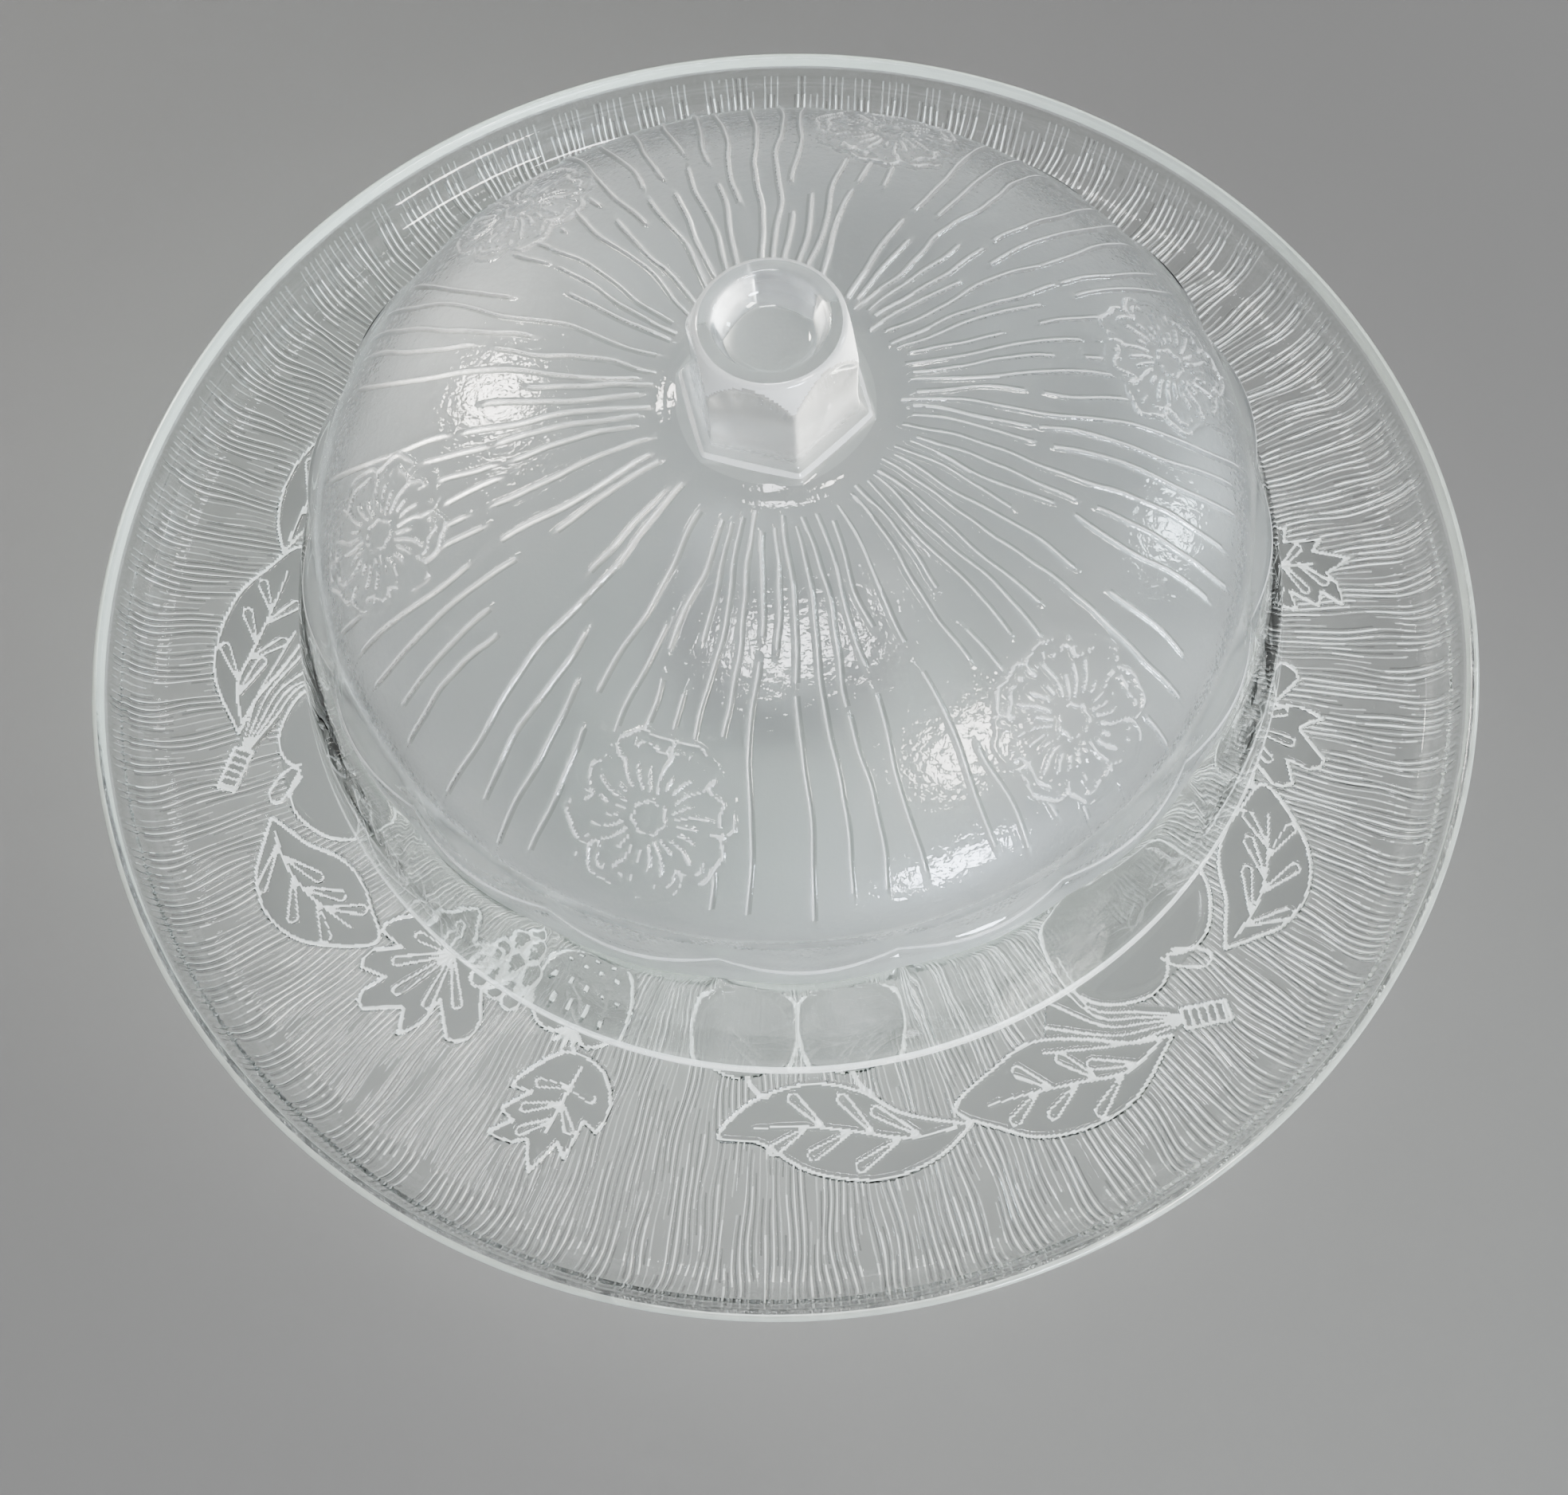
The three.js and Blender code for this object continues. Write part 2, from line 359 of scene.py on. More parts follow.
def flower(x, y, random):
    """Relief of one pressed flower at points in its own plane: an eye, stamens and crinkled petals."""
    d, a = np.hypot(x, y), np.arctan2(y, x) + random.uniform(0, TURN)
    p = random.uniform(0, TURN, 8)
    petals = 8
    petal = TURN / petals
    line_width = 0.6
    edge = FLOWER_SIZE - 2.8 + 2.4 * np.abs(np.cos(petals / 2 * a)) ** 0.6
    edge = edge + 0.4 * np.sin(9 * a + p[0]) + 0.35 * np.sin(17 * a + p[1])
    relief = 0.12 * fade(edge - d, 0, 0.8)
    relief = np.maximum(relief, 0.7 * bead(d - edge, 0.75) * (0.66 + 0.34 * np.sin(3 * a + p[3])))
    inner_edge = edge - 2.5 + 0.4 * np.sin(13 * a + p[2])
    relief = np.maximum(relief, 0.6 * bead(d - inner_edge, line_width) * fade(np.sin(5 * a + p[4]), -0.5, 0))
    cleft = np.abs(np.abs(from_nearest(a, petal)) * d - petal / 2 * d)
    relief = np.maximum(relief, 0.6 * bead(cleft, 0.55) * fade(d, 11.5, 12.5) * fade(edge - d, 0, 0.6))
    relief = np.maximum(relief, 0.6 * bead(d - 3.3 - 0.3 * np.sin(7 * a + p[5]), 0.55))
    stamens, petal_lines = (24, 4.4, 12.0, 2.2, 0.66, p[6]), (40, 12.6, 15.6, 1.0, 0.4, p[7])
    for count, start, end, spread, tall, phase in (stamens, petal_lines):
        turn = a + 0.05 * np.sin(d / 1.7 + phase)
        spoke = np.floor(turn / TURN * count)
        across = np.abs(turn % (TURN / count) - TURN / count / 2) * d
        reach = end + spread * np.sin(2.4 * spoke + phase)
        begin = start + 0.5 * spread * (1 + np.sin(5.1 * spoke + phase))
        line = bead(across, line_width) * fade(d, begin - 0.5, begin + 0.5) * fade(-d, -reach, 1.5 - reach)
        relief = np.maximum(relief, tall * (line * fade(edge - d, 0, 1)))
    return relief


def crown_band(skin):
    """The stippled domed top, from the knob's foot to the ridge, with its ribs and flowers."""
    near_edge = RIDGE_RADIUS - np.linspace(0.97, 0.02, 30)  # where the slope is steep
    radii = np.append(np.linspace(NECK_RADIUS, RIDGE_RADIUS - 1, 500), near_edge)
    profile = np.stack([radii, crown(0, radii)], 1)
    profile = profile[profile[:, 1] > RIDGE_Z + 2.4]
    profile = respaced(profile, lambda r: np.where(r < 66, 0.85, 0.47))
    lengths = np.append(0, np.cumsum(np.linalg.norm(np.diff(profile, axis=0), axis=1)))
    normal = outward(profile)
    angles, relief, highlit_crests, shaded_flanks = Ribs(7).columns(profile[:, 0], flower_middles=11, plain_middles=2)
    flower_length = np.interp(FLOWER_RADIUS, profile[:, 0], lengths)
    random = np.random.default_rng(11)
    for i in range(FLOWERS):
        off = from_nearest(angles - FLOWER_ANGLE - i * TURN / FLOWERS, TURN)
        x = off * profile[:, :1]
        y = np.broadcast_to((lengths - flower_length)[:, None], x.shape)
        d = np.hypot(x, y)
        near = d < FLOWER_SIZE + 4
        clear = fade(d, FLOWER_SIZE - 1.5, FLOWER_SIZE + 1.5)
        relief *= clear
        highlit_crests &= clear > 0.6
        shaded_flanks &= clear > 0.9
        pressed = flower(x[near], y[near], random)
        relief[near] = np.maximum(relief[near], pressed)
        highlit_crests[near] |= pressed > 0.33
    peel = np.random.default_rng(3).normal(0, 1, angles.shape)
    peel = peel + np.roll(peel, 1, 1) + np.roll(peel, 1, 0)
    relief = relief + PEEL_HEIGHT * peel * span(profile[:, :1], NECK_RADIUS, RIDGE_RADIUS - 2, 3, 8)
    r = profile[:, :1] + relief * normal[:, :1]
    z = profile[:, 1:] + relief * normal[:, 1:]
    # Rib crests and flower lines get a painted highlight, and the side beside each tall rib a painted shade.
    plain = np.where(profile[1:, 1:] > RIDGE_Z + 7, DOME_STIPPLED, DOME_CLEAR)
    looks = np.where(faces_where(highlit_crests), DOME_HIGHLIGHT, np.where(faces_where(shaded_flanks), DOME_PAINTED_SHADE, plain))
    skin.band(angles, scalloped(angles, r, z), z, looks)


def knob_rings(skin):
    """Six-sided knob with a round cup in its top, from the cup's centre down to the dome."""
    cup = [(5.2, KNOB_TOP - 6), (7.4, KNOB_TOP - 5.6), (9.2, KNOB_TOP - 4.2), (10.4, KNOB_TOP - 2.2)]
    rim = [(11.0, KNOB_TOP - 0.6), (11.7, KNOB_TOP - 0.09), (12.8, KNOB_TOP - 0.03), (13.8, KNOB_TOP - 0.1)]
    skin.pole(KNOB_TOP - 6)
    skin.turned([(2.5, KNOB_TOP - 6)], 120)
    skin.turned(smooth([*cup, *rim], 6), 240)
    # height, the hexagon's corner radius, the round foot's share of the outline, and the foot's radius
    spine = smooth(
        [
            (KNOB_TOP - 0.5, KNOB_HEX_RADIUS, 0, 20),
            (KNOB_TOP - 4, KNOB_HEX_RADIUS, 0, 20),
            (KNOB_TOP - 8, KNOB_HEX_RADIUS, 0, 20),
            (KNOB_TOP - 14, KNOB_HEX_RADIUS - 0.1, 0, 20),
            (KNOB_TOP - 20, KNOB_HEX_RADIUS, 0, 20),
            (KNOB_TOP - 23, KNOB_HEX_RADIUS + 1, 0, 19.6),
            (KNOB_TOP - 25, KNOB_HEX_RADIUS + 2.7, 0.05, 20),
            (KNOB_TOP - 26.1, KNOB_HEX_RADIUS + 3.2, 0.4, 20.8),
            (KNOB_TOP - 26.9, KNOB_HEX_RADIUS + 3.4, 0.95, 21.8),
            (KNOB_TOP - 27.6, KNOB_HEX_RADIUS + 3.4, 1, 23),
            (KNOB_TOP - 28.0, KNOB_HEX_RADIUS + 3.4, 1, 24.1),
            (crown(0, NECK_RADIUS - 0.6), KNOB_HEX_RADIUS + 3.4, 1, NECK_RADIUS - 0.6),
        ],
        6,
    )
    angles = full_turn(360)
    z, corner, roundness, foot = (spine[:, i : i + 1] for i in range(4))
    hexagon = corner * math.cos(TURN / 12) / np.cos((angles - KNOB_CORNER) % (TURN / 6) - TURN / 12)
    chamfer = np.interp(-z, [-KNOB_TOP, 2 - KNOB_TOP, 8 - KNOB_TOP, 25 - KNOB_TOP], [14.3, 15.4, 17.9, 26])
    # a high power gives the smallest of the three radii, with edges that are just rounded
    power = 130
    sided = (hexagon**-power + chamfer**-power + (corner - 0.12) ** -power) ** (-1 / power)
    sided = sided * 1.003  # makes up for what the rounding takes off the flat sides
    # Painted highlight: the ring at the knob's flared base and the arched shoulders where the chamfer cuts
    # the sides get the milky highlight glass.
    rim = (z < KNOB_TOP - 24.2) & (z > KNOB_TOP - 25.6)
    shoulder = (chamfer < hexagon * 0.998) & (z > KNOB_TOP - 9)
    looks = np.where(faces_where(rim | shoulder), DOME_HIGHLIGHT, DOME_CLEAR)
    looks = np.where(roundness[1:] > 0.7, DOME_STIPPLED, looks)
    skin.band(angles, sided * (1 - roundness) + foot * roundness, z, looks)


def dome(materials):
    """The whole dome: knob, top, ridge, skirt, bottom edge and the inside."""
    skin = Skin(DOME_CENTRE)
    knob_rings(skin)
    crown_band(skin)
    ridge = [
        (RIDGE_RADIUS - 0.1, RIDGE_Z + 2.0),
        (RIDGE_RADIUS + 0.35, RIDGE_Z + 1.2),
        (RIDGE_RADIUS + 0.5, RIDGE_Z + 0.4),
        (RIDGE_RADIUS + 0.2, RIDGE_Z - 0.5),
        (RIDGE_RADIUS + 0.0, RIDGE_Z - 1.2),
        (RIDGE_RADIUS + 0.5, RIDGE_Z - 2.0),
    ]
    skirt = [
        (RIDGE_RADIUS + 2.5, RIDGE_Z - 4.4),
        (RIDGE_RADIUS + 7.0, RIDGE_Z - 13.8),
        (DOME_RADIUS - 4.1, DOME_BOTTOM + 18),
        (DOME_RADIUS - 1.1, DOME_BOTTOM + 6),
    ]
    foot = [
        (DOME_RADIUS - 0.15, DOME_BOTTOM + 2),
        (DOME_RADIUS - 0.05, DOME_BOTTOM + 1.1),
        (DOME_RADIUS - 0.5, DOME_BOTTOM + 0.25),
        (DOME_RADIUS - 1.3, DOME_BOTTOM),
        (DOME_RADIUS - WALL + 1.3, DOME_BOTTOM),
        (DOME_RADIUS - WALL + 0.5, DOME_BOTTOM + 0.25),
        (DOME_RADIUS - WALL, DOME_BOTTOM + 1.2),
    ]
    outside = smooth([*ridge, *skirt, *foot], 4)
    angles = full_turn(1080)
    radii, heights = outside[:, :1], outside[:, 1:]
    # Painted highlight: the scalloped ridge's bead and the bottom edge get the milky highlight glass.
    on_ridge = (heights < RIDGE_Z + 1.4) & (heights > RIDGE_Z - 0.3)
    on_foot = heights < DOME_BOTTOM + 2.1
    looks = np.where(on_ridge | on_foot, DOME_HIGHLIGHT, DOME_CLEAR)[:-1]
    skin.band(angles, scalloped(angles, radii, heights), heights, looks)
    inside = smooth(
        [
            (DOME_RADIUS - 1.1 - WALL, DOME_BOTTOM + 6),
            (DOME_RADIUS - 4.1 - WALL, DOME_BOTTOM + 18),
            (RIDGE_RADIUS + 7 - WALL, RIDGE_Z - 13.8),
            (RIDGE_RADIUS + 2.2 - WALL, RIDGE_Z - 4.4),
            (RIDGE_RADIUS - WALL, RIDGE_Z + 0.4),
        ],
        6,
    )
    skin.turned(inside, 240, look=np.where(inside[:-1, 1:] > RIDGE_Z - 9, DOME_HAZY, DOME_CLEAR))
    turn = np.linspace(0.06, 0.985, 44) * math.pi / 2
    radii = (RIDGE_RADIUS - WALL) * np.cos(turn)
    skin.turned(np.stack([radii, crown(WALL, radii)], 1), 240, look=DOME_HAZY)
    skin.pole(CROWN_Z - WALL, look=DOME_HAZY)
    skin.piece("dome_glass", "dome", ["dome"], materials)


# ---------------------------------------------------------------- the plate


class Motif:
    """Moulded shapes in their own plane: x runs anticlockwise round the plate, y outwards."""

    LINE = 0.36  # a bead's share of its height above which it gets a painted highlight

    def __init__(self, radius, degrees):
        self.radius, self.angle = radius, math.radians(degrees)
        self.reach = 0
        self.outlines, self.strokes, self.bulges = [], [], []

    def outline(self, points, steps=5, width=0.62, height=0.55, closed=True, plateau=0.12):
        """A bead along a line. A closed one has a flat clear patch inside it, plateau high."""
        if closed:
            points = [*points, points[0]]
        line = smooth(points, steps) if steps > 1 else np.array(points, float)
        self.outlines.append((line, width, height, closed, plateau))
        self.reach = max(self.reach, np.hypot(*line.T).max() + 2)

    def stroke(self, points, start_width=0.9, end_width=0.9, height=0.55, steps=4, hollow=False):
        """A raised stroke whose half width changes along it. A hollow one is just its own outline."""
        line = smooth(points, steps)
        self.strokes.append((line, start_width, end_width, height, hollow))
        self.reach = max(self.reach, np.hypot(*line.T).max() + 2)

    def bulge(self, x, y, across, along, height):
        """A smooth swelling with an elliptic outline."""
        self.bulges.append((x, y, across, along, height))
        self.reach = max(self.reach, math.hypot(x, y) + max(across, along) + 1)

    def press(self, angles, radii, covered, relief, highlit_lines):
        """Adds the motif to the relief, once for each repeat of the wreath."""
        for i in range(WREATH_REPEATS):
            off = angles - self.angle - i * TURN / WREATH_REPEATS
            x, y = radii * np.sin(off), radii * np.cos(off) - self.radius
            near = np.hypot(x, y) < self.reach
            if near.any():
                patch, raised, lines = self.at(x[near], y[near])
                covered[near] = np.maximum(covered[near], patch)
                relief[near] = np.maximum(relief[near], raised)
                highlit_lines[near] |= lines > self.LINE

    def at(self, x, y):
        """What the motif covers, how high it stands and where its lines are, at points in its plane."""
        covered, raised, lines = np.zeros(len(x)), np.zeros(len(x)), np.zeros(len(x))
        for line, width, height, closed, plateau in self.outlines:
            distance, _ = to_line(x, y, line)
            if closed:
                patch = np.where(is_inside(x, y, line), 1.0, 1 - fade(distance, 0.2, 0.9))
                covered = np.maximum(covered, patch)
                raised = np.maximum(raised, plateau * patch)
            raised = np.maximum(raised, height * bead(distance, width))
            lines = np.maximum(lines, bead(distance, width))
        for cx, cy, across, along, height in self.bulges:
            d = np.hypot((x - cx) / across, (y - cy) / along)
            covered = np.maximum(covered, 1 - fade(d, 0.98, 1.04))
            raised = np.maximum(raised, height * np.clip(1 - d**2, 0, 1) ** 0.6)
            if along < 2:  # a seed, whose painted highlight is a dot
                lines = np.maximum(lines, bead(d, 1))
            elif along < 5:  # a small berry, whose painted highlight is a ring
                lines = np.maximum(lines, bead(d - 0.85, 0.25))
        for line, start_width, end_width, height, hollow in self.strokes:
            distance, share = to_line(x, y, line)
            width = start_width + (end_width - start_width) * share
            ridge = bead(distance - width, 0.48) if hollow else bead(distance, width)
            raised = np.maximum(raised, height * ridge)
            lines = np.maximum(lines, ridge)
        return covered, raised, lines


def to_line(x, y, line):
    """Distance from points to a line of straight pieces, and how far along it the nearest point is."""
    nearest, share = np.full(len(x), 1e9), np.zeros(len(x))
    pieces = len(line) - 1
    for i in range(pieces):
        (ax, ay), (bx, by) = line[i], line[i + 1]
        dx, dy = bx - ax, by - ay
        t = np.clip(((x - ax) * dx + (y - ay) * dy) / max(dx * dx + dy * dy, 1e-9), 0, 1)
        distance = np.hypot(x - ax - t * dx, y - ay - t * dy)
        closer = distance < nearest
        nearest[closer] = distance[closer]
        share[closer] = (i + t[closer]) / pieces
    return nearest, share


def is_inside(x, y, line):
    """Whether points lie inside a closed line."""
    crossings = np.zeros(len(x), int)
    for (ax, ay), (bx, by) in zip(line, np.roll(line, -1, 0)):
        if ay != by:
            spans = (ay > y) != (by > y)
            crossings += spans & (x < ax + (y - ay) * (bx - ax) / (by - ay))
    return crossings % 2 == 1


def veined_leaf(radius, degrees, outline, spine, sides):
    """A pointed leaf: its outline, a middle vein and pod-shaped side veins."""
    leaf = Motif(radius, degrees)
    leaf.outline(outline)
    leaf.stroke(spine, 0.75, 0.5)
    for start, end in sides:
        leaf.stroke([start, end], 0.3, 1.2, 0.6, hollow=True)
    return leaf


def leaf_sides(spine, starts, length, spread):
    """Side veins on both sides of a leaf's spine, slanting towards its tip."""
    spine = smooth(spine, 10)
    sides = []
    for side, share in starts:
        i = int(share * (len(spine) - 2))
        base, along = spine[i], spine[i + 1] - spine[i]
        heading = math.atan2(along[1], along[0]) + side * math.radians(spread)
        reach = length * (1.3 - 0.45 * share)
        end = base + reach * np.array([math.cos(heading), math.sin(heading)])
        sides.append((base + 0.1 * (end - base), end))
    return sides


def wreath():
    """One repeat of the wreath, anticlockwise as seen from above."""
    motifs = []

    # two round fruits, mostly under the dome's edge
    fruits = Motif(99, 148)
    for x, tall in ((-12, 1.1), (12, 1.2)):
        fruits.bulge(x, 0, 11.5, 12, tall)
        fruits.outline(arc((x, 0), 12.2, 100, 420, 24), steps=1, closed=False)
        fruits.stroke([(x, 12), (x + 1.5, 15), (x + 4.5, 17)], 0.9, 0.6)
    motifs.append(fruits)

    # two long leaves that point clockwise
    spine = [(25, 0.5), (14, 1.5), (2, -1.5), (-10, -4), (-20, -4.6)]
    outline = [
        (28.7, 0.3), (14, -3.9), (5, -10), (-6, -13), (-19, -10.8), (-28, -3.8),
        (-19, -1.4), (-8, 6.4), (7, 9.8), (20, 6.6),
    ]
    starts = [(1, 0.2), (-1, 0.3), (1, 0.42), (-1, 0.52), (1, 0.66), (-1, 0.74)]
    motifs.append(veined_leaf(126, 152.2, outline, spine, leaf_sides(spine, starts, 9.5, 38)))

    spine = [(23, 4), (13, 6), (2, 2.5), (-9, -1), (-18, -3.4)]
    outline = [
        (26.3, 4.2), (17.6, 1.2), (8, -5.4), (-2, -10.4), (-12, -9.8), (-25, -6.4),
        (-18.3, 2.5), (-11.3, 8.7), (0, 12.2), (12, 11.6),
    ]
    motifs.append(veined_leaf(129, 175.5, outline, spine, leaf_sides(spine, starts, 8.6, 38)))

    # a sheaf of stems bound into a ringed stalk
    sheaf = Motif(128, 182)
    for i in range(5):
        bend = (i - 2) * 1.6
        far = (-15 + 4.2 * i, -7 - 4 * i)
        sheaf.stroke([(15.5, 5.8 - 0.3 * bend), (8, 1.6 - bend), (0, -3.5 - 1.7 * bend), far], 0.4, 0.5)
    round_stems = [(16, 7.4), (8, 5.8), (0, 3), (-15, -6), (1.5, -24), (0.8, -9.5), (8.5, -2.4), (16, 4.2)]
    sheaf.outline(round_stems, steps=1, width=0.01, height=0, plateau=0.1)
    sheaf.outline([(14.6, 8.2), (16.4, 3.9), (26, 8.4), (24.4, 12.6)], steps=1, plateau=0.3)
    for i in range(6):
        x, y = 15.6 + 1.75 * i, 5.6 + 0.86 * i
        sheaf.stroke([(x - 0.9, y + 2.2), (x + 0.9, y - 1.9)], 0.5, 0.5, 0.7)
    motifs.append(sheaf)

    # an apple with a short stem
    apple = Motif(110, 192.6)
    apple.bulge(0, -1, 21.5, 17.5, 1.3)
    apple.outline(
        [
            (0, 12.6), (5, 15.8), (12, 15), (19.5, 8.6), (21.5, 0), (18, -10), (8, -18),
            (0, -17), (-8, -18), (-18, -10), (-21.5, 0), (-19.5, 8.6), (-12, 15), (-5, 15.8),
        ],
        steps=4,
        plateau=0.05,
    )
    stem = [(-1.6, 12), (-0.6, 16), (3.8, 20.8), (7, 19.4), (4.4, 15.4), (1.6, 12.4)]
    apple.stroke(stem, 0.55, 0.55, steps=3)
    motifs.append(apple)

    # a leaf that points anticlockwise
    spine = [(-17, 1), (-9, 2.2), (0, 1), (8, -2), (14, -4.6)]
    outline = [
        (-20.8, 0.2), (-14, 6), (-9, 9.6), (-1, 11.2), (7, 9.2), (13.6, 3.8), (20.4, -8.2),
        (12.3, -10.8), (4, -11.6), (-3, -9.6), (-10, -4.6), (-15, -2.4),
    ]
    starts = [(1, 0.12), (-1, 0.22), (1, 0.4), (-1, 0.5), (1, 0.66), (-1, 0.72)]
    motifs.append(veined_leaf(130, 206, outline, spine, leaf_sides(spine, starts, 9, 34)))

    # a lobed leaf
    lobed = Motif(112.2, 222.6)
    lobed.outline(
        [
            (-9, -5), (-16, 3), (-16.2, 7.4), (-9.8, 7), (-14.6, 12), (-13.5, 16.6), (-7.6, 14.4),
            (-9.2, 20), (-6, 23.2), (0.8, 16.4), (4.4, 21.4), (6.6, 15), (5.9, 9.4), (13.6, 14.6),
            (17.2, 11), (16, 6), (11, 1), (14, -3), (8, -9), (2, -6), (-3, -11),
        ],
        steps=2,
    )
    for turn, far in ((165, 9), (130, 13), (102, 15), (70, 13), (38, 12), (-35, 8), (-120, 7)):
        lobed.stroke([reach * unit(turn) for reach in (0.8, far * 0.5, far)], 0.3, 1.1, 0.6, hollow=True)
    motifs.append(lobed)

    # a cluster of small round berries
    cluster = Motif(104, 229.5)
    for row, count in enumerate((3, 4, 3, 2, 1)):
        for i in range(count):
            cluster.bulge(4.6 * (i - (count - 1) / 2), 8 - 4.3 * row, 2.6, 2.6, 1.0)
    motifs.append(cluster)

    # a seeded berry with a leafy cap
    berry = Motif(100, 239.6)
    berry.bulge(0, 0, 11, 12, 0.5)
    berry.outline(
        [
            (0, 12.4), (7, 12.6), (11.4, 7), (10.6, -1), (5.6, -9),
            (-1, -13), (-6.6, -9), (-11.2, -1), (-11.4, 7), (-7, 12.6),
        ]
    )
    for row, count in enumerate((3, 4, 5, 4, 3)):
        for i in range(count):
            berry.bulge(4.1 * (i - (count - 1) / 2) - 0.3 * row, 8.4 - 4 * row, 0.85, 1.0, 1.05)
    for turn in (35, 62, 90, 118, 145):
        x, y = unit(turn)
        berry.stroke([(1, 10.4), (1 + 4 * x, 10.4 + 4 * y), (1 + 7 * x, 10.4 + 5.4 * y)], 1.1, 0.4, 0.7)
    motifs.append(berry)

    # a saw-edged leaf that points outwards
    saw = Motif(128, 242.3)
    saw.outline(
        [
            (2, -12.6), (-3.4, -12), (-8.3, -6.4), (-11.4, -0.3), (-6.4, -0.9), (-11.2, 5.2),
            (-7.4, 6.6), (-11.6, 11), (-5.6, 11), (-2.6, 9.2), (0.7, 15.4), (3.8, 7), (6.8, 9.8),
            (7.2, 0.6), (10.9, 1.8), (11.4, -5), (7, -11),
        ],
        steps=2,
    )
    saw.stroke([(1.6, -10), (1, -3), (0.4, 6)], 0.6, 0.9)
    sides = [
        [(0.8, -5), (-5.6, -3.4)], [(0.8, -1), (-6.4, 3)], [(0.6, 3), (-5, 8)],
        [(1.2, -5), (6.6, -4.6)], [(1, -1), (5, 3.6)],
    ]
    for side in sides:
        saw.stroke(side, 0.3, 1.0, 0.6, hollow=True)
    motifs.append(saw)
    return motifs


def waves(random, angles, radii, count, around, along):
    """Smooth noise, about -1 to 1, made of sine waves.

    The ranges are how many waves fit round the plate, and how long they are along a radius.
    """
    total = np.zeros(np.broadcast_shapes(angles.shape, radii.shape))
    for _ in range(count):
        turns = random.integers(*around)
        phase = random.uniform(-1, 1) * TURN * radii / random.uniform(*along) + random.uniform(0, TURN)
        total += np.sin(turns * angles + phase)
    return total / math.sqrt(count / 2)


def bark(columns, radii, seed):
    """Angles of the mesh's columns, which sway like the grain of bark, and the grooves between them."""
    random = np.random.default_rng(seed)
    angles, r = full_turn(columns), radii[:, None]
    sway = 0.32 * waves(random, angles, r, 8, (8, 50), (14, 40))
    sway = sway + 0.07 * waves(random, angles, r, 6, (60, 160), (8, 16))
    bundles = waves(random, angles, r, 14, (40, 170), (26, 80))
    groove = np.arange(columns) * GROOVES // columns
    length = random.uniform(22, 60, GROOVES)[groove]
    phase = random.uniform(0, TURN, GROOVES)[groove]
    level = random.uniform(0.6, 1, GROOVES)[groove]
    depth = level * np.clip(0.66 + 0.26 * np.sin(TURN * r / length + phase) + 0.26 * bundles, 0.12, 1)
    return angles + sway / r, depth * np.sin(GROOVES * angles)


